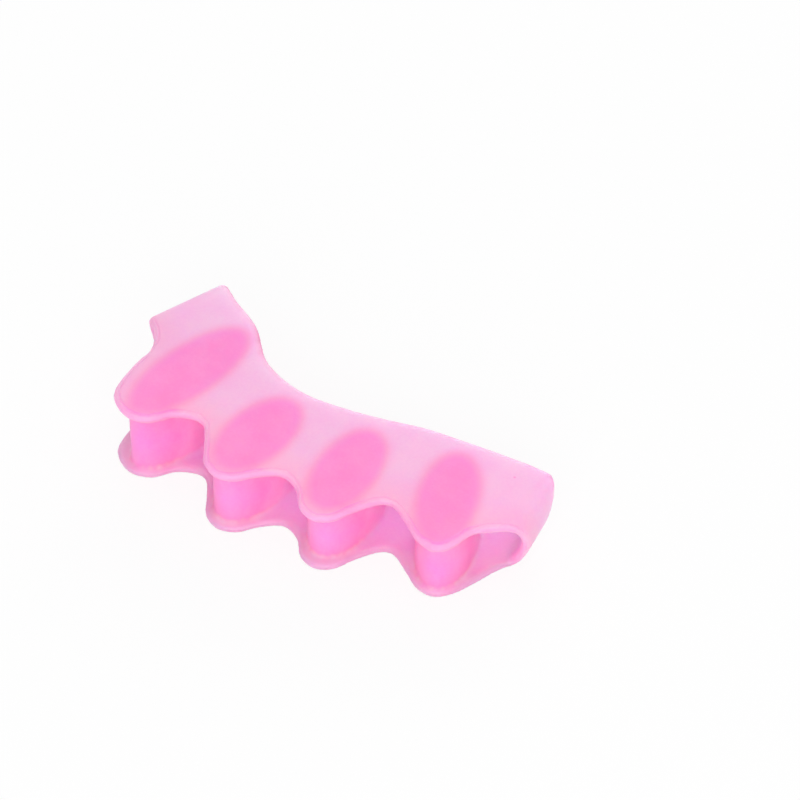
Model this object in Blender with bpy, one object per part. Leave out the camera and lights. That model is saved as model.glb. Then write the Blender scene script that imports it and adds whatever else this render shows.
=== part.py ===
# Toe separator: one soft gel moulding that a foot's five toes go through, from the big toe's loop
# at -X to the little toe's loop at +X. Metres, +Z up. The lobed front edge faces -Y, and the origin
# is at the middle of the underside's bounding box.
import math

import bmesh
import bpy
from mathutils import Matrix, Vector

PART_NAME = "toe_separator"

# The web is one closed band: a roof, a floor and the loop round each end
WEB_THICKNESS = 0.0019
EDGE_ROUNDING = 0.0011
LOOP_ROOF_SQUARENESS = 0.75
LOOP_FLOOR_SQUARENESS = 1.0

# The roof is higher over the big toe, and slopes down between these two places
HEIGHT_AT_BIG_TOE = 0.0180
HEIGHT_AT_LITTLE_TOE = 0.0156
SLOPE_START = -0.046
SLOPE_END = 0.014

# The four posts between the toes, from the big toe's side: where each stands, the way its long
# axis points from front to back, and the size of its oval
POST_X = (-0.0364, -0.0153, 0.0052, 0.0268)
POST_Y = (-0.0006, -0.0093, -0.0086, -0.0057)
POST_ANGLES = (76.0, 82.0, 92.0, 107.0)
POST_LENGTHS = (0.0331, 0.0246, 0.0250, 0.0261)
POST_WIDTHS = (0.0132, 0.0132, 0.0130, 0.0124)
POST_FILLET = 0.0009

# How far the web stands out past each post: in front, at its two flanks and behind
FRONT_LIPS = (0.0014, 0.0019, 0.0026, 0.0009)
LEFT_LIPS = (0.0070, 0.0022, 0.0023, 0.0025)
RIGHT_LIPS = (0.0020, 0.0020, 0.0015, 0.0010)
BACK_LIPS = (0.0031, 0.0035, 0.0044, 0.0039)

# Between two posts the front edge arches back and the back edge dips, both measured along the
# toes from the line that joins the middles of the posts
ARCH_REACHES = (0.0070, 0.0073, 0.0054)
BACK_REACHES = (0.0148, 0.0158, 0.0174)

# Points of the web's edges at its two ends, each as how far out it is from the side of the post
# next to it, and how far ahead of that post's back end. The band leaves the roof at the first
# point of a loop and meets the floor at the last. In between it turns round half way up, midway
# between the other two, and leans from the second above to the third below.
BIG_FLANK = ((0.0044, 0.0165), (0.0031, 0.0235))
BIG_LOOP_FRONT = (
    (0.0075, 0.0130),
    (0.0137, 0.0094),
    (0.0100, 0.0084),
    (0.0069, 0.0128),
)
BIG_LOOP_BACK = (
    (0.0026, -0.0061),
    (0.0094, -0.0099),
    (0.0096, -0.0094),
    (0.0026, -0.0061),
)
LITTLE_FLANK = {"roof": (0.0010, 0.0210), "floor": (0.0016, 0.0211)}
LITTLE_SHOULDER = (0.0049, -0.0008)
LITTLE_LOOP_FRONT = (
    (0.0042, 0.0199),
    (0.0102, 0.0180),
    (0.0098, 0.0140),
    (0.0064, 0.0159),
)
LITTLE_LOOP_BACK = (
    (0.0125, 0.0018),
    (0.0141, 0.0027),
    (0.0117, 0.0042),
    (0.0090, 0.0050),
)

# How finely the curves are cut
STATION_SPACING = 0.0015
LOOP_STEPS = 8
EDGE_STEPS = 3
ACROSS_STEPS = 3
POST_SIDES = 36
FINE_STEPS = 1600

GEL_PINK = (0.98, 0.40, 0.68, 1.0)
GEL_ROUGHNESS = 0.45

POSTS = range(len(POST_X))


def direction(angle):
    return Vector((math.cos(math.radians(angle)), math.sin(math.radians(angle))))


def post_frame(post):
    """The post's middle, its axis from front to back, and the way across it to the right."""
    axis = direction(POST_ANGLES[post])
    return Vector((POST_X[post], POST_Y[post])), axis, Vector((axis.y, -axis.x))


def lobe_point(post, degrees):
    """A point of the lobe round the front of a post: 0 is its tip, -90 its left flank."""
    middle, axis, right = post_frame(post)
    turn = math.radians(degrees)
    side_lip = LEFT_LIPS[post] if degrees < 0 else RIGHT_LIPS[post]
    along = (POST_LENGTHS[post] / 2 + FRONT_LIPS[post]) * math.cos(turn)
    across = (POST_WIDTHS[post] / 2 + side_lip) * math.sin(turn)
    return middle - axis * along + right * across


def back_point(post):
    middle, axis, _ = post_frame(post)
    return middle + axis * (POST_LENGTHS[post] / 2 + BACK_LIPS[post])


def gap_point(post, reach):
    """A point that lies reach behind the middle of the gap on the post's right."""
    middle = Vector((POST_X[post] + POST_X[post + 1], POST_Y[post] + POST_Y[post + 1])) / 2
    return middle + direction((POST_ANGLES[post] + POST_ANGLES[post + 1]) / 2) * reach


def loop_point(post, outward, corner):
    """A corner of an end loop's band, on the outward side of the post: 1 for right, -1 for left."""
    out, ahead = corner
    middle, axis, right = post_frame(post)
    return middle + right * outward * (POST_WIDTHS[post] / 2 + out) + axis * (POST_LENGTHS[post] / 2 - ahead)


# Points of a lobe: degrees round its tip, and how much of the way to the next stop they lie. The
# big toe's flank and the little toe's flank and shoulder lie that much of the way to the loop's root.
LOBE_POINTS = ((-52.0, -0.45), (-26.0, -0.2), (0.0, 0.0), (26.0, 0.2), (52.0, 0.45))
BIG_FLANK_STEPS = (-0.65, -0.4)
LITTLE_FLANK_STEP = 0.5
LITTLE_SHOULDER_STEP = 0.6


def turn_and_root(post, outward, front_corners):
    """Where along X an end loop turns round, and where it leaves the roof."""
    side = POST_X[post] + outward * POST_WIDTHS[post] / 2
    return side + outward * front_corners[1][0], side + outward * front_corners[0][0]


def band_stops():
    """Places along the band from one loop's root to the other's: each post, and each gap between."""
    stops = [turn_and_root(POSTS[0], -1, BIG_LOOP_FRONT)[1]]
    for post in POSTS[:-1]:
        stops += [POST_X[post], (POST_X[post] + POST_X[post + 1]) / 2]
    return [*stops, POST_X[-1], turn_and_root(POSTS[-1], 1, LITTLE_LOOP_FRONT)[1]]


def place_by(post, step):
    """The place that lies the size of step of the way from the post to the stop on that side."""
    stops = band_stops()
    own = 2 * post + 1
    following = own + (1 if step > 0 else -1)
    return stops[own] + (stops[following] - stops[own]) * abs(step)


def with_loops(knots, big_corners, little_corners, level):
    """The knots between the two end loops, with the roots where the loops meet that level."""
    first, last = POSTS[0], POSTS[-1]
    root, turn = (0, 1) if level == "roof" else (3, 2)
    big_turn, big_root = turn_and_root(first, -1, BIG_LOOP_FRONT)
    little_turn, little_root = turn_and_root(last, 1, LITTLE_LOOP_FRONT)
    big = [
        (big_turn, loop_point(first, -1, big_corners[turn])),
        (big_root, loop_point(first, -1, big_corners[root])),
    ]
    little = [
        (little_root, loop_point(last, 1, little_corners[root])),
        (little_turn, loop_point(last, 1, little_corners[turn])),
    ]
    return big + knots + little


def front_knots(level):
    first, last = POSTS[0], POSTS[-1]
    knots = [
        (place_by(first, step), loop_point(first, -1, point))
        for step, point in zip(BIG_FLANK_STEPS, BIG_FLANK)
    ]
    for post in POSTS:
        points = LOBE_POINTS[1:] if post == first else LOBE_POINTS
        if post == last:
            points = points[:-1]
        knots += [(place_by(post, step), lobe_point(post, turn)) for turn, step in points]
        if post != last:
            knots.append((place_by(post, 1), gap_point(post, -ARCH_REACHES[post])))
    knots.append((place_by(last, LITTLE_FLANK_STEP), loop_point(last, 1, LITTLE_FLANK[level])))
    return with_loops(knots, BIG_LOOP_FRONT, LITTLE_LOOP_FRONT, level)


def back_knots(level):
    last = POSTS[-1]
    knots = []
    for post in POSTS:
        knots.append((place_by(post, 0), back_point(post)))
        if post != last:
            knots.append((place_by(post, 1), gap_point(post, BACK_REACHES[post])))
    knots.append((place_by(last, LITTLE_SHOULDER_STEP), loop_point(last, 1, LITTLE_SHOULDER)))
    return with_loops(knots, BIG_LOOP_BACK, LITTLE_LOOP_BACK, level)


def slopes(knots):
    """The slope at each knot, per metre of chord, of a smooth curve through them all."""
    steps = [(b - a).length for (_, a), (_, b) in zip(knots, knots[1:])]
    chords = [(b - a) / step for (_, a), (_, b), step in zip(knots, knots[1:], steps)]
    inner = [
        (before * after_step + after * before_step) / (before_step + after_step)
        for before, after, before_step, after_step in zip(chords, chords[1:], steps, steps[1:])
    ]
    return [chords[0], *inner, chords[-1]]


def point_on(knots, knot_slopes, place):
    index = sum(1 for knot in knots[1:-1] if knot[0] <= place)
    (start, a), (end, b) = knots[index], knots[index + 1]
    chord = (b - a).length
    s = (place - start) / (end - start)
    return (
        a * (2 * s**3 - 3 * s**2 + 1)
        + knot_slopes[index] * chord * (s**3 - 2 * s**2 + s)
        + b * (3 * s**2 - 2 * s**3)
        + knot_slopes[index + 1] * chord * (s**3 - s**2)
    )


def height_at(x):
    share = min(max((x - SLOPE_START) / (SLOPE_END - SLOPE_START), 0.0), 1.0)
    fall = (1 - math.cos(math.pi * share)) / 2
    return HEIGHT_AT_BIG_TOE + (HEIGHT_AT_LITTLE_TOE - HEIGHT_AT_BIG_TOE) * fall


def roof_places():
    """Places from root to root, evenly spaced along the front edge."""
    knots = front_knots("roof")
    knot_slopes = slopes(knots)
    stops = band_stops()
    fine = [stops[0] + (stops[-1] - stops[0]) * i / FINE_STEPS for i in range(FINE_STEPS + 1)]
    points = [point_on(knots, knot_slopes, place) for place in fine]
    lengths = [0.0]
    for a, b in zip(points, points[1:]):
        lengths.append(lengths[-1] + (b - a).length)
    count = round(lengths[-1] / STATION_SPACING)
    places = []
    for i in range(count + 1):
        wanted = lengths[-1] * i / count
        index = min(max(sum(1 for length in lengths if length < wanted), 1), FINE_STEPS)
        share = (wanted - lengths[index - 1]) / (lengths[index] - lengths[index - 1])
        places.append(fine[index - 1] + (fine[index] - fine[index - 1]) * share)
    return places


def band_places():
    """Each place round the band, as (place, sine of the turn): 1 on the roof, -1 on the floor."""
    roof = roof_places()
    loop = []
    for i in range(1, 2 * LOOP_STEPS):
        turn = math.pi * i / (2 * LOOP_STEPS)
        squareness = LOOP_ROOF_SQUARENESS if i < LOOP_STEPS else LOOP_FLOOR_SQUARENESS
        loop.append((math.sin(turn) ** squareness, math.cos(turn)))
    big_turn, big_root = turn_and_root(POSTS[0], -1, BIG_LOOP_FRONT)
    little_turn, little_root = turn_and_root(POSTS[-1], 1, LITTLE_LOOP_FRONT)
    little_end = [(little_root + (little_turn - little_root) * out, rise) for out, rise in loop]
    big_end = [(big_root + (big_turn - big_root) * out, rise) for out, rise in reversed(loop)]
    floor = [(place, -1.0) for place in reversed(roof)]
    return [(place, 1.0) for place in roof] + little_end + floor + big_end


def middle_surface(places, knots_at):
    """The line that one edge of the band follows half way through its thickness."""
    roof, floor = knots_at("roof"), knots_at("floor")
    roof_slopes, floor_slopes = slopes(roof), slopes(floor)
    line = []
    for place, rise in places:
        flat = point_on(floor, floor_slopes, place).lerp(point_on(roof, roof_slopes, place), (1 + rise) / 2)
        low = WEB_THICKNESS / 2
        high = height_at(flat.x) - WEB_THICKNESS / 2
        line.append(Vector((flat.x, flat.y, (high + low) / 2 + rise * (high - low) / 2)))
    return line


def band_section(front, back, front_along, back_along):
    """One closed section of the band, over the outer side and back, with the underside kept flat."""
    across = (back - front).normalized()
    front_normal = front_along.cross(across).normalized()
    back_normal = back_along.cross(across).normalized()
    front_inward = front_normal.cross(front_along).normalized()
    back_inward = back_along.cross(back_normal).normalized()
    turns = [math.pi * i / (2 * EDGE_STEPS) for i in range(EDGE_STEPS + 1)]
    half = WEB_THICKNESS / 2

    def side(sign):
        insets = [EDGE_ROUNDING * (1 - math.cos(turn)) for turn in turns]
        rises = [sign * half * math.sin(turn) for turn in turns]
        near = [front + front_inward * i + front_normal * r for i, r in zip(insets, rises)]
        far = [back + back_inward * i + back_normal * r for i, r in zip(insets, rises)]
        between = [near[-1].lerp(far[-1], i / ACROSS_STEPS) for i in range(1, ACROSS_STEPS)]
        return near + between + far[::-1]

    outer, inner = side(1), side(-1)
    return [Vector((*point.xy, max(point.z, 0.0))) for point in outer + inner[-2:0:-1]]


def loft(name, sections, closed):
    """A solid skin through sections of equal length, round a ring or capped at both ends."""
    mesh = bmesh.new()
    rings = [[mesh.verts.new(point) for point in section] for section in sections]
    pairs = list(zip(rings, rings[1:] + rings[:1])) if closed else list(zip(rings, rings[1:]))
    for ring, following in pairs:
        for i in range(len(ring)):
            j = (i + 1) % len(ring)
            mesh.faces.new((ring[i], ring[j], following[j], following[i]))
    if not closed:
        mesh.faces.new(rings[0])
        mesh.faces.new(rings[-1])
    bmesh.ops.recalc_face_normals(mesh, faces=mesh.faces)
    if mesh.calc_volume(signed=True) < 0:
        bmesh.ops.reverse_faces(mesh, faces=mesh.faces)
    data = bpy.data.meshes.new(name)
    mesh.to_mesh(data)
    mesh.free()
    data.shade_smooth()
    return bpy.data.objects.new(name, data)


def make_band():
    places = band_places()
    front = middle_surface(places, front_knots)
    back = middle_surface(places, back_knots)
    sections = []
    for i in range(len(places)):
        before, after = i - 1, (i + 1) % len(places)
        front_along = front[after] - front[before]
        back_along = back[after] - back[before]
        sections.append(band_section(front[i], back[i], front_along, back_along))
    return loft(PART_NAME, sections, closed=True)


def make_post(post):
    """An oval post that flares into the floor and the roof, and ends half way through them."""
    middle, axis, right = post_frame(post)
    flare = [POST_FILLET * (1 - math.sin(math.radians(angle))) for angle in (0, 30, 60, 90)]
    rises = [POST_FILLET * (1 - math.cos(math.radians(angle))) for angle in (0, 30, 60, 90)]
    levels = [(-WEB_THICKNESS / 2, POST_FILLET)] + list(zip(rises, flare))
    sections = []
    for from_roof in (False, True):
        part = []
        for level, spread in levels:
            ring = []
            for i in range(POST_SIDES):
                turn = 2 * math.pi * i / POST_SIDES
                along = (POST_LENGTHS[post] / 2 + spread) * math.cos(turn)
                across = (POST_WIDTHS[post] / 2 + spread) * math.sin(turn)
                flat = middle + axis * along + right * across
                floor = WEB_THICKNESS
                roof = height_at(flat.x) - WEB_THICKNESS
                ring.append(Vector((flat.x, flat.y, roof - level if from_roof else floor + level)))
            part.append(ring)
        sections += part[::-1] if from_roof else part
    return loft(f"post_{post + 1}", sections, closed=False)


def gel_material():
    material = bpy.data.materials.new("pink gel")
    material.use_nodes = True
    shader = material.node_tree.nodes["Principled BSDF"]
    shader.inputs["Base Color"].default_value = GEL_PINK
    shader.inputs["Roughness"].default_value = GEL_ROUGHNESS
    return material


for old in list(bpy.data.objects):
    bpy.data.objects.remove(old)

parts = bpy.data.collections.new(PART_NAME)
helpers = bpy.data.collections.new("joined shapes")
for collection in (parts, helpers):
    bpy.context.scene.collection.children.link(collection)

separator = make_band()
separator.data.materials.append(gel_material())
spans = [[vertex.co[axis] for vertex in separator.data.vertices] for axis in range(2)]
bottom_middle = Vector(((min(span) + max(span)) / 2 for span in spans)).to_3d()
centring = Matrix.Translation(-bottom_middle)
separator.data.transform(centring)
parts.objects.link(separator)
for post in POSTS:
    column = make_post(post)
    column.data.transform(centring)
    column.hide_render = True
    column.display_type = "WIRE"
    helpers.objects.link(column)
    union = separator.modifiers.new(column.name, "BOOLEAN")
    union.operation = "UNION"
    union.object = column
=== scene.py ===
# A soft pink toe separator in moulded gel, lying on a pale table under plain studio light.
import math

import bpy
import numpy as np
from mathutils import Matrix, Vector
from mathutils.bvhtree import BVHTree
from mathutils.kdtree import KDTree


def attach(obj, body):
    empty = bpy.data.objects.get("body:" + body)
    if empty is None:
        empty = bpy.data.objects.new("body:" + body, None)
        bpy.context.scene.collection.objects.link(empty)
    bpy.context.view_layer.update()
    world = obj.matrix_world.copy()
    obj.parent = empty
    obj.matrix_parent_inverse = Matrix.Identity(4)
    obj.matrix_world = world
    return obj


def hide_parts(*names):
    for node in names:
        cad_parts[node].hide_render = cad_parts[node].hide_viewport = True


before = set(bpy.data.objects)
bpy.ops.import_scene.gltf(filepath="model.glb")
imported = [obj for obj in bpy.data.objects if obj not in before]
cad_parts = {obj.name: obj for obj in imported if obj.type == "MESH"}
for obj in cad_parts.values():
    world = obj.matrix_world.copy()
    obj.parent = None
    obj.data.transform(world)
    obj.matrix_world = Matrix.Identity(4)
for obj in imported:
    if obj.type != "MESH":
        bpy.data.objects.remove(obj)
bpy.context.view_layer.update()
print("frame loaded")


# an sRGB hex colour, turned linear
def hexColour(text):
    parts = [int(text[i:i + 2], 16) / 255 for i in (1, 3, 5)]
    linear = [c / 12.92 if c <= 0.04045 else ((c + 0.055) / 1.055) ** 2.4 for c in parts]
    return (*linear, 1.0)


# adds one node; a setting or a link is named by the socket or property it goes to
def addNode(tree, kind, settings=None, links=None):
    node = tree.nodes.new(kind)
    for name, value in (settings or {}).items():
        if isinstance(name, int) or name in node.inputs:
            node.inputs[name].default_value = value
        else:
            setattr(node, name, value)
    for name, socket in (links or {}).items():
        tree.links.new(socket, node.inputs[name])
    return node


def newMaterial(name):
    material = bpy.data.materials.new(name)
    material.use_nodes = True
    material.node_tree.nodes.clear()
    return material, material.node_tree


moulding = {
    "voxel": 0.00045,        # m, edge of the new mesh's faces
    "smoothing": 4,          # rounds that take the remesh's steps out
    "smoothShare": 0.5,      # how far a round moves each point
    "cone": 38.0,            # degrees, half the cone in which light is followed into the gel
    "rays": 24,              # directions in that cone
    "rayStart": 0.0001,      # m under the surface, so that a ray doesn't hit where it starts
    "reach": 0.0030,         # m of gel that takes most of the white out of the light
    "hazeRounds": 2,         # rounds that blur what the rays found
    "skyCone": 75.0,         # degrees, half the cone in which the sky is looked for
    "skyRays": 20,
    "skyStart": 0.0002,      # m over the surface
    "skyRounds": 3,
    "edgeLean": 0.35,        # most that an edge's face looks up or down, from 0 to 1
    "edgeGel": 0.0035,       # m, least gel behind an edge
    "edgeGap": 0.0004,       # m out from an edge, where it is tested for being free
    "frontShade": 0.35,      # painted shade: share of the white that is taken off along the lobed edges
    "frontReach": 0.0035,    # m, how far in from them that loss goes
    "backPaintedLight": 0.18,        # painted light: share of white that is gained along the back edge
    "backReach": 0.0040,     # m
    "floorShade": 0.25,      # painted shade: share lost on the floor's upper side, which only pink light reaches
    "floorTop": 0.0030,      # m above the table, the highest that the floor's upper side lies
    "level": 0.5,            # a face that looks up by this share or more counts as level
    "levelStep": 0.3,        # over which the bead sets in beyond that
    "rimWidth": 0.0006,      # m, the raised bead along the roof's lobed edge
    "rimStep": 0.0006,       # m, over which the bead falls to the web
    "rimHeight": 0.00011,    # m
    "roofFrom": 0.0110,      # m above the table: the bead is on the roof alone
    "heightStep": 0.001,     # m, over which the roof's and the floor's own looks set in
}


def remeshed(source, name):
    copy = bpy.data.objects.new(name, source.data.copy())
    bpy.context.scene.collection.objects.link(copy)
    remesh = copy.modifiers.new("remesh", "REMESH")
    remesh.mode = "VOXEL"
    remesh.voxel_size = moulding["voxel"]
    smooth = copy.modifiers.new("smooth", "SMOOTH")
    smooth.factor = moulding["smoothShare"]
    smooth.iterations = moulding["smoothing"]
    bpy.context.view_layer.update()
    depsgraph = bpy.context.evaluated_depsgraph_get()
    made = bpy.data.meshes.new_from_object(copy.evaluated_get(depsgraph))
    copy.modifiers.clear()
    copy.data = made
    made.shade_smooth()
    return copy


def readVectors(collection, field, count):
    flat = np.empty(count * 3, np.float32)
    collection.foreach_get(field, flat)
    return flat.reshape(-1, 3).astype(float)


# evenly spread directions within a cone round +Z
def coneDirections(count, halfAngle):
    steps = np.arange(count) + 0.5
    rise = 1 - (1 - math.cos(math.radians(halfAngle))) * steps / count
    turn = math.pi * (1 + math.sqrt(5)) * steps
    run = np.sqrt(1 - rise ** 2)
    return [Vector(d) for d in np.column_stack([np.cos(turn) * run, np.sin(turn) * run, rise])]


def blurred(values, edges, rounds):
    for _ in range(rounds):
        total = values.copy()
        count = np.ones(len(values))
        for a, b in ((0, 1), (1, 0)):
            np.add.at(total, edges[:, a], values[edges[:, b]])
            np.add.at(count, edges[:, a], 1)
        values = total / count
    return values


# partly painted light: how much white light comes through the gel to each point: much at a thin
# web, little at a post, where the gel's own colour is also deeper
def paleness(points, normals, tree):
    directions = coneDirections(moulding["rays"], moulding["cone"])
    found = np.zeros(len(points))
    for i, (point, normal) in enumerate(zip(points, normals)):
        inward = Vector(-normal)
        start = Vector(point) + inward * moulding["rayStart"]
        turned = inward.to_track_quat("Z", "Y")
        for direction in directions:
            ray = turned @ direction
            hit, _, _, length = tree.ray_cast(start, ray)
            found[i] += 1.0 if hit is None else math.exp(-length / moulding["reach"])
    return found / len(directions)


# how open the view to the sky is from each point: little inside a toe's way through
def openness(points, normals, tree):
    directions = coneDirections(moulding["skyRays"], moulding["skyCone"])
    found = np.zeros(len(points))
    for i, (point, normal) in enumerate(zip(points, normals)):
        outward = Vector(normal)
        start = Vector(point) + outward * moulding["skyStart"]
        turned = outward.to_track_quat("Z", "Y")
        for direction in directions:
            found[i] += tree.ray_cast(start, turned @ direction)[0] is None
    return found / len(directions)


# points on the web's edges: gel lies far behind them, and none on the way out or over, or else
# under them; out is -1 for the lobed front edge and 1 for the back edge
def rimPoints(points, normals, tree, out):
    rims = []
    for point, normal in zip(points, normals):
        if abs(normal[2]) > moulding["edgeLean"]:
            continue
        inward = Vector(-normal)
        start = Vector(point)
        depth = tree.ray_cast(start + inward * moulding["rayStart"], inward)[3]
        if depth is None or depth < moulding["edgeGel"]:
            continue
        outside = start - inward * moulding["edgeGap"]
        if tree.ray_cast(outside, Vector((0, out, 0)))[0] is not None:
            continue
        above = tree.ray_cast(outside, Vector((0, 0, 1)))[0]
        below = tree.ray_cast(outside, Vector((0, 0, -1)))[0]
        if above is None or below is None:
            rims.append(start)
    return rims


def distancesTo(places, points):
    tree = KDTree(len(places))
    for i, place in enumerate(places):
        tree.insert(place, i)
    tree.balance()
    return np.array([tree.find(Vector(point))[2] for point in points])


def addFloats(mesh, name, values):
    attribute = mesh.attributes.new(name, "FLOAT", "POINT")
    attribute.data.foreach_set("value", np.asarray(values, np.float32))


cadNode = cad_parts["toe_separator"]
gel = remeshed(cadNode, "moulded_gel")
mesh = gel.data
points = readVectors(mesh.vertices, "co", len(mesh.vertices))
normals = readVectors(mesh.vertices, "normal", len(mesh.vertices))
print("remeshed:", len(mesh.vertices), "points")

cadMesh = cadNode.data
cadTree = BVHTree.FromPolygons(
    [vertex.co for vertex in cadMesh.vertices],
    [face.vertices for face in cadMesh.polygons],
)

rims = rimPoints(points, normals, cadTree, -1)
backRims = rimPoints(points, normals, cadTree, 1)
rimDistance = distancesTo(rims, points)
backDistance = distancesTo(backRims, points)
print("rims found:", len(rims), "points in front and", len(backRims), "behind")

edges = np.empty(len(mesh.edges) * 2, np.int32)
mesh.edges.foreach_get("vertices", edges)
edges = edges.reshape(-1, 2)
pale = blurred(paleness(points, normals, cadTree), edges, moulding["hazeRounds"])
openSky = blurred(openness(points, normals, cadTree), edges, moulding["skyRounds"])
print("paleness from", round(float(pale.min()), 3), "to", round(float(pale.max()), 3))

# painted shade along the lobed edges, painted light along the back edge, painted shade on the
# floor's upper side
pale *= 1 - moulding["frontShade"] * np.exp(-rimDistance / moulding["frontReach"])
pale *= 1 + moulding["backPaintedLight"] * np.exp(-backDistance / moulding["backReach"])
heights = points[:, 2] / moulding["heightStep"]
floorTop = moulding["floorTop"] / moulding["heightStep"]
onFloor = np.clip(normals[:, 2] / moulding["level"], 0, 1) * np.clip(floorTop - heights + 1, 0, 1)
pale *= 1 - moulding["floorShade"] * onFloor

# the bead stands up from the faces that look up or down, not from the edges themselves
outer = np.clip((np.abs(normals[:, 2]) - moulding["level"]) / moulding["levelStep"], 0, 1)
fall = np.clip((rimDistance - moulding["rimWidth"]) / moulding["rimStep"], 0, 1)
onRoof = np.clip(heights - moulding["roofFrom"] / moulding["heightStep"], 0, 1)
bead = (1 - fall * fall * (3 - 2 * fall)) * outer * onRoof * moulding["rimHeight"]
points += normals * bead[:, None]
mesh.vertices.foreach_set("co", points.astype(np.float32).ravel())
addFloats(mesh, "paleness", pale)
addFloats(mesh, "openness", openSky)
addFloats(mesh, "rimDistance", rimDistance * 1000)
addFloats(mesh, "backDistance", backDistance * 1000)
addFloats(mesh, "onRoof", onRoof)
mesh.update()


# Thermoplastic gel moulded in a sandblasted mould: a milky pink that goes deep where it is thick,
# with a fine matt grain and soft, broad highlights.
# its paleness is partly the gel's own depth of colour and partly painted light, the white that
# comes through thin gel
gelFinish = {
    "deep": "#ff91ce",       # four colours, and the paleness at which each is reached
    "middle": "#ffa5cb",
    "pale": "#ffbbd9",
    "palest": "#ffcade",
    "deepAt": 0.10,
    "middleAt": 0.27,
    "paleAt": 0.50,
    "palestAt": 0.70,
    "inside": "#ffb7e2",     # painted light: one even tone inside the toes' ways through, standing in for the light that goes round there
    "shadedAt": 0.10,        # share of open sky at which that tone has taken over
    "openAt": 0.60,          # share of open sky at which the gel's own depth shows
    "roughness": 0.46,
    "ior": 1.45,
    "glowReach": 0.010,      # m, how far red light goes on under the surface
    "glowShares": (1.0, 0.45, 0.65),   # the same for red, green and blue, as shares of it
    "grainSize": 0.35,       # mm, the mould's blasted grain
    "grainDepth": 0.02,      # mm
    "grainStrength": 0.5,
    "cloudSize": 7.0,        # mm, uneven colour in the gel
    "speckSize": 0.6,        # mm, drawn coarser than the real specks, so that they show
    "speckShare": 0.6,       # strength of the specks beside the clouds
    "drift": 0.12,           # paleness that clouds and specks together add
    "driftLess": 0.096,      # and what is taken off, so that it evens out
    "rimPaintedHighlight": 0.21,         # painted highlight: paleness of the bead at an edge
    "beadWidth": 1.0,        # mm, from the edge
    "grooveAt": 1.2,         # mm from the edge, the line where two halves of the mould met
    "grooveWidth": 0.30,     # mm
    "grooveDepth": 0.12,     # mm
    "grooveStrength": 0.8,
    "grooveShade": 0.10,     # painted shade: paleness that the line takes off, beside the groove's bump
    "blush": "#fdeefb",      # multiplies the colour in uneven patches
    "blushFrom": 0.60,       # clouds and specks at which a patch begins
    "blushFull": 1.0,
    "edgeTint": "#fffff4",   # painted shade: multiplies it at the lobed edges, taking blue out of the light that they take in from all round
    "edgeReach": 7.0,        # mm, how far from them that tint goes
    "backPaintedShade": "#cfbec4",   # painted shade: multiplies it at the back edge, darkening the bright line that the lamps light there
    "backReach": 1.9,        # mm
    "fleckAt": (0.0407, 0.0030, 0.0156),   # m, a fleck caught in the roof over the little toe
    "fleckWidth": 0.0004,    # m
    "fleckShade": 0.5,       # paleness that it takes off
}


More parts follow.
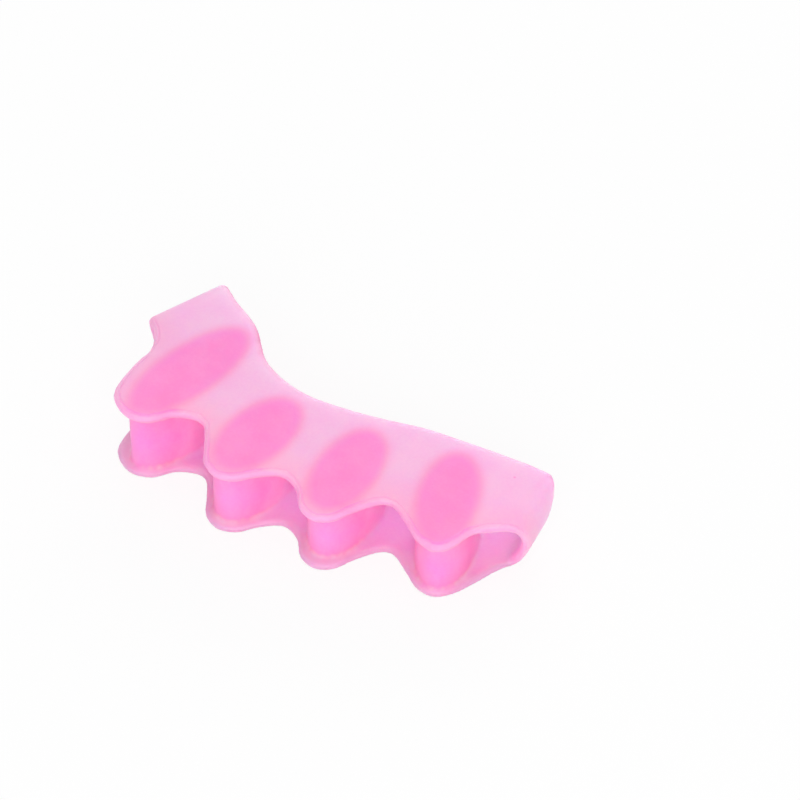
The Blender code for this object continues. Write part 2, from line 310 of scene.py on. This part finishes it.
def gelMaterial(finish):
    material, tree = newMaterial("moulded thermoplastic gel")
    place = addNode(tree, "ShaderNodeTexCoord")
    depth = addNode(tree, "ShaderNodeAttribute", {"attribute_name": "paleness"})
    sky = addNode(tree, "ShaderNodeAttribute", {"attribute_name": "openness"})
    entering = addNode(
        tree, "ShaderNodeMapRange",
        {"From Min": finish["shadedAt"], "From Max": finish["openAt"]},
        {"Value": sky.outputs["Fac"]},
    )
    clouds = addNode(
        tree, "ShaderNodeTexNoise",
        {"Scale": 1000 / finish["cloudSize"], "Detail": 2.0},
        {"Vector": place.outputs["Object"]},
    )
    specks = addNode(
        tree, "ShaderNodeTexNoise",
        {"Scale": 1000 / finish["speckSize"], "Detail": 1.0},
        {"Vector": place.outputs["Object"]},
    )
    uneven = addNode(
        tree, "ShaderNodeMath", {"operation": "MULTIPLY_ADD", 1: finish["speckShare"]},
        {0: specks.outputs["Fac"], 2: clouds.outputs["Fac"]},
    )
    drift = addNode(
        tree, "ShaderNodeMath",
        {"operation": "MULTIPLY_ADD", 1: finish["drift"], 2: -finish["driftLess"]},
        {0: uneven.outputs[0]},
    )
    edge = addNode(tree, "ShaderNodeAttribute", {"attribute_name": "rimDistance"})
    # painted highlight: the edges are made at least this pale
    rimPaintedHighlight = addNode(
        tree, "ShaderNodeMapRange",
        {
            "interpolation_type": "SMOOTHSTEP",
            "From Min": finish["beadWidth"] * 0.5, "From Max": finish["beadWidth"] * 1.5,
            "To Min": finish["rimPaintedHighlight"], "To Max": 0.0,
        },
        {"Value": edge.outputs["Fac"]},
    )
    milkiest = addNode(
        tree, "ShaderNodeMath", {"operation": "MAXIMUM"},
        {0: depth.outputs["Fac"], 1: rimPaintedHighlight.outputs["Result"]},
    )
    fromGroove = addNode(
        tree, "ShaderNodeMath", {"operation": "SUBTRACT", 1: finish["grooveAt"]},
        {0: edge.outputs["Fac"]},
    )
    apart = addNode(tree, "ShaderNodeMath", {"operation": "ABSOLUTE"}, {0: fromGroove.outputs[0]})
    groove = addNode(
        tree, "ShaderNodeMapRange",
        {
            "interpolation_type": "SMOOTHSTEP",
            "From Max": finish["grooveWidth"], "To Min": 1.0, "To Max": 0.0,
        },
        {"Value": apart.outputs[0]},
    )
    roof = addNode(tree, "ShaderNodeAttribute", {"attribute_name": "onRoof"})
    roofGroove = addNode(
        tree, "ShaderNodeMath", {"operation": "MULTIPLY"},
        {0: groove.outputs["Result"], 1: roof.outputs["Fac"]},
    )
    # painted shade in the groove
    lessMilk = addNode(
        tree, "ShaderNodeMath", {"operation": "MULTIPLY_ADD", 1: -finish["grooveShade"]},
        {0: roofGroove.outputs[0], 2: milkiest.outputs[0]},
    )
    total = addNode(
        tree, "ShaderNodeMath", {"operation": "ADD"},
        {0: lessMilk.outputs[0], 1: drift.outputs[0]},
    )
    fromFleck = addNode(
        tree, "ShaderNodeVectorMath", {"operation": "DISTANCE", 1: finish["fleckAt"]},
        {0: place.outputs["Object"]},
    )
    fleck = addNode(
        tree, "ShaderNodeMapRange",
        {"From Max": finish["fleckWidth"], "To Min": -finish["fleckShade"], "To Max": 0.0},
        {"Value": fromFleck.outputs["Value"]},
    )
    flecked = addNode(
        tree, "ShaderNodeMath", {"operation": "ADD"},
        {0: total.outputs[0], 1: fleck.outputs["Result"]},
    )
    ramp = addNode(tree, "ShaderNodeValToRGB", links={"Fac": flecked.outputs[0]})
    stops = ramp.color_ramp.elements
    stops[0].position, stops[0].color = finish["deepAt"], hexColour(finish["deep"])
    stops[1].position, stops[1].color = finish["paleAt"], hexColour(finish["pale"])
    stops.new(finish["middleAt"]).color = hexColour(finish["middle"])
    stops.new(finish["palestAt"]).color = hexColour(finish["palest"])
    # painted light: the inside tone takes over where little sky is open
    tone = addNode(
        tree, "ShaderNodeMix", {"data_type": "RGBA", 6: hexColour(finish["inside"])},
        {0: entering.outputs["Result"], 7: ramp.outputs["Color"]},
    )
    patches = addNode(
        tree, "ShaderNodeMapRange",
        {"From Min": finish["blushFrom"], "From Max": finish["blushFull"]},
        {"Value": uneven.outputs[0]},
    )
    blushed = addNode(
        tree, "ShaderNodeMix",
        {"data_type": "RGBA", "blend_type": "MULTIPLY", 7: hexColour(finish["blush"])},
        {0: patches.outputs["Result"], 6: tone.outputs[2]},
    )
    nearEdge = addNode(
        tree, "ShaderNodeMapRange",
        {
            "From Min": finish["beadWidth"], "From Max": finish["edgeReach"],
            "To Min": 1.0, "To Max": 0.0,
        },
        {"Value": edge.outputs["Fac"]},
    )
    # painted shade at the lobed edges
    tinted = addNode(
        tree, "ShaderNodeMix",
        {"data_type": "RGBA", "blend_type": "MULTIPLY", 7: hexColour(finish["edgeTint"])},
        {0: nearEdge.outputs["Result"], 6: blushed.outputs[2]},
    )
    behind = addNode(tree, "ShaderNodeAttribute", {"attribute_name": "backDistance"})
    nearBack = addNode(
        tree, "ShaderNodeMapRange",
        {
            "interpolation_type": "SMOOTHSTEP",
            "From Max": finish["backReach"], "To Min": 1.0, "To Max": 0.0,
        },
        {"Value": behind.outputs["Fac"]},
    )
    # painted shade along the back edge
    backShaded = addNode(
        tree, "ShaderNodeMix",
        {"data_type": "RGBA", "blend_type": "MULTIPLY", 7: hexColour(finish["backPaintedShade"])},
        {0: nearBack.outputs["Result"], 6: tinted.outputs[2]},
    )
    grain = addNode(
        tree, "ShaderNodeTexNoise",
        {"Scale": 1000 / finish["grainSize"], "Detail": 3.0},
        {"Vector": place.outputs["Object"]},
    )
    bump = addNode(
        tree, "ShaderNodeBump",
        {"Strength": finish["grainStrength"], "Distance": finish["grainDepth"] / 1000},
        {"Height": grain.outputs["Fac"]},
    )
    grooved = addNode(
        tree, "ShaderNodeBump",
        {
            "Strength": finish["grooveStrength"],
            "Distance": finish["grooveDepth"] / 1000,
            "invert": True,
        },
        {"Height": roofGroove.outputs[0], "Normal": bump.outputs["Normal"]},
    )
    shader = addNode(
        tree, "ShaderNodeBsdfPrincipled",
        {
            "Roughness": finish["roughness"],
            "IOR": finish["ior"],
            "Subsurface Weight": 1.0,
            "Subsurface Radius": finish["glowShares"],
            "Subsurface Scale": finish["glowReach"],
        },
        {"Base Color": backShaded.outputs[2], "Normal": grooved.outputs["Normal"]},
    )
    addNode(tree, "ShaderNodeOutputMaterial", links={"Surface": shader.outputs["BSDF"]})
    return material


mesh.materials.clear()
mesh.materials.append(gelMaterial(gelFinish))
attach(gel, "root")
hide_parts("toe_separator")
print("gel finished")


studio = {
    "tableSize": 3.0,        # m
    "tableColour": "#f6f6f6",
    "tableWhite": 0.88,      # share of the table that is plain white to the camera
    "worldLight": 0.64,
    "keyLight": 0.8,         # W
    "keySize": 0.9,          # m
    "keyPlace": (-0.55, 0.25, 1.1),
    "fillLight": 10.6,       # W, in front, so that it reaches into the toes' ways through
    "fillSize": 1.0,
    "fillPlace": (0.52, -1.02, 0.50),
    "backLight": 9.0,        # W, low behind, so that light comes through them too
    "backSize": 1.0,
    "backPlace": (-0.25, 1.2, 0.3),
}


def seenDirectly(tree):
    path = addNode(tree, "ShaderNodeLightPath")
    first = addNode(
        tree, "ShaderNodeMath", {"operation": "MAXIMUM"},
        {0: path.outputs["Is Camera Ray"], 1: path.outputs["Is Glossy Ray"]},
    )
    return addNode(
        tree, "ShaderNodeMath", {"operation": "MAXIMUM"},
        {0: first.outputs[0], 1: path.outputs["Is Transmission Ray"]},
    )


def tableMaterial():
    material, tree = newMaterial("matt white table")
    seen = seenDirectly(tree)
    share = addNode(
        tree, "ShaderNodeMath", {"operation": "MULTIPLY", 1: studio["tableWhite"]},
        {0: seen.outputs[0]},
    )
    matt = addNode(tree, "ShaderNodeBsdfDiffuse", {"Color": hexColour(studio["tableColour"])})
    white = addNode(tree, "ShaderNodeEmission", {"Strength": 1.0})
    mixed = addNode(
        tree, "ShaderNodeMixShader",
        links={0: share.outputs[0], 1: matt.outputs[0], 2: white.outputs[0]},
    )
    addNode(tree, "ShaderNodeOutputMaterial", links={"Surface": mixed.outputs[0]})
    return material


def makeTable():
    half = studio["tableSize"] / 2
    corners = [(-half, -half, 0), (half, -half, 0), (half, half, 0), (-half, half, 0)]
    plane = bpy.data.meshes.new("table")
    plane.from_pydata(corners, [], [(0, 1, 2, 3)])
    plane.materials.append(tableMaterial())
    table = bpy.data.objects.new("table", plane)
    bpy.context.scene.collection.objects.link(table)


def makeWorld():
    world = bpy.data.worlds.new("studio")
    bpy.context.scene.world = world
    world.use_nodes = True
    tree = world.node_tree
    tree.nodes.clear()
    seen = seenDirectly(tree)
    strength = addNode(
        tree, "ShaderNodeMapRange",
        {"To Min": studio["worldLight"], "To Max": 1.0},
        {"Value": seen.outputs[0]},
    )
    sky = addNode(
        tree, "ShaderNodeBackground", {"Color": (1, 1, 1, 1)},
        {"Strength": strength.outputs["Result"]},
    )
    addNode(tree, "ShaderNodeOutputWorld", links={"Surface": sky.outputs[0]})


def addLamp(name, power, size, place):
    lamp = bpy.data.lights.new(name, "AREA")
    lamp.energy = power
    lamp.size = size
    holder = bpy.data.objects.new(name, lamp)
    holder.location = place
    holder.rotation_euler = (-Vector(place)).to_track_quat("-Z", "Y").to_euler()
    bpy.context.scene.collection.objects.link(holder)


camera = {
    "lookAt": (0.00604, 0.01842, 0.0082),   # m, the middle of the photograph
    "elevation": 44.0,                      # degrees above the table
    "turn": 28.5,                           # degrees, from looking along +Y towards -X
    "distance": 0.8333,                     # m
    "lens": 180.0,                          # mm, on a 36 mm sensor
}


def makeCamera():
    up, side = math.radians(camera["elevation"]), math.radians(camera["turn"])
    forward = Vector((-math.sin(side) * math.cos(up), math.cos(side) * math.cos(up), -math.sin(up)))
    data = bpy.data.cameras.new("camera")
    data.lens = camera["lens"]
    data.sensor_width = 36.0
    data.clip_start = 0.01
    holder = bpy.data.objects.new("camera", data)
    holder.location = Vector(camera["lookAt"]) - forward * camera["distance"]
    holder.rotation_euler = forward.to_track_quat("-Z", "Y").to_euler()
    bpy.context.scene.collection.objects.link(holder)
    bpy.context.scene.camera = holder


makeTable()
makeWorld()
addLamp("key", studio["keyLight"], studio["keySize"], studio["keyPlace"])
addLamp("fill", studio["fillLight"], studio["fillSize"], studio["fillPlace"])
addLamp("back", studio["backLight"], studio["backSize"], studio["backPlace"])
makeCamera()
bpy.context.scene.view_settings.view_transform = "Standard"
print("studio ready")
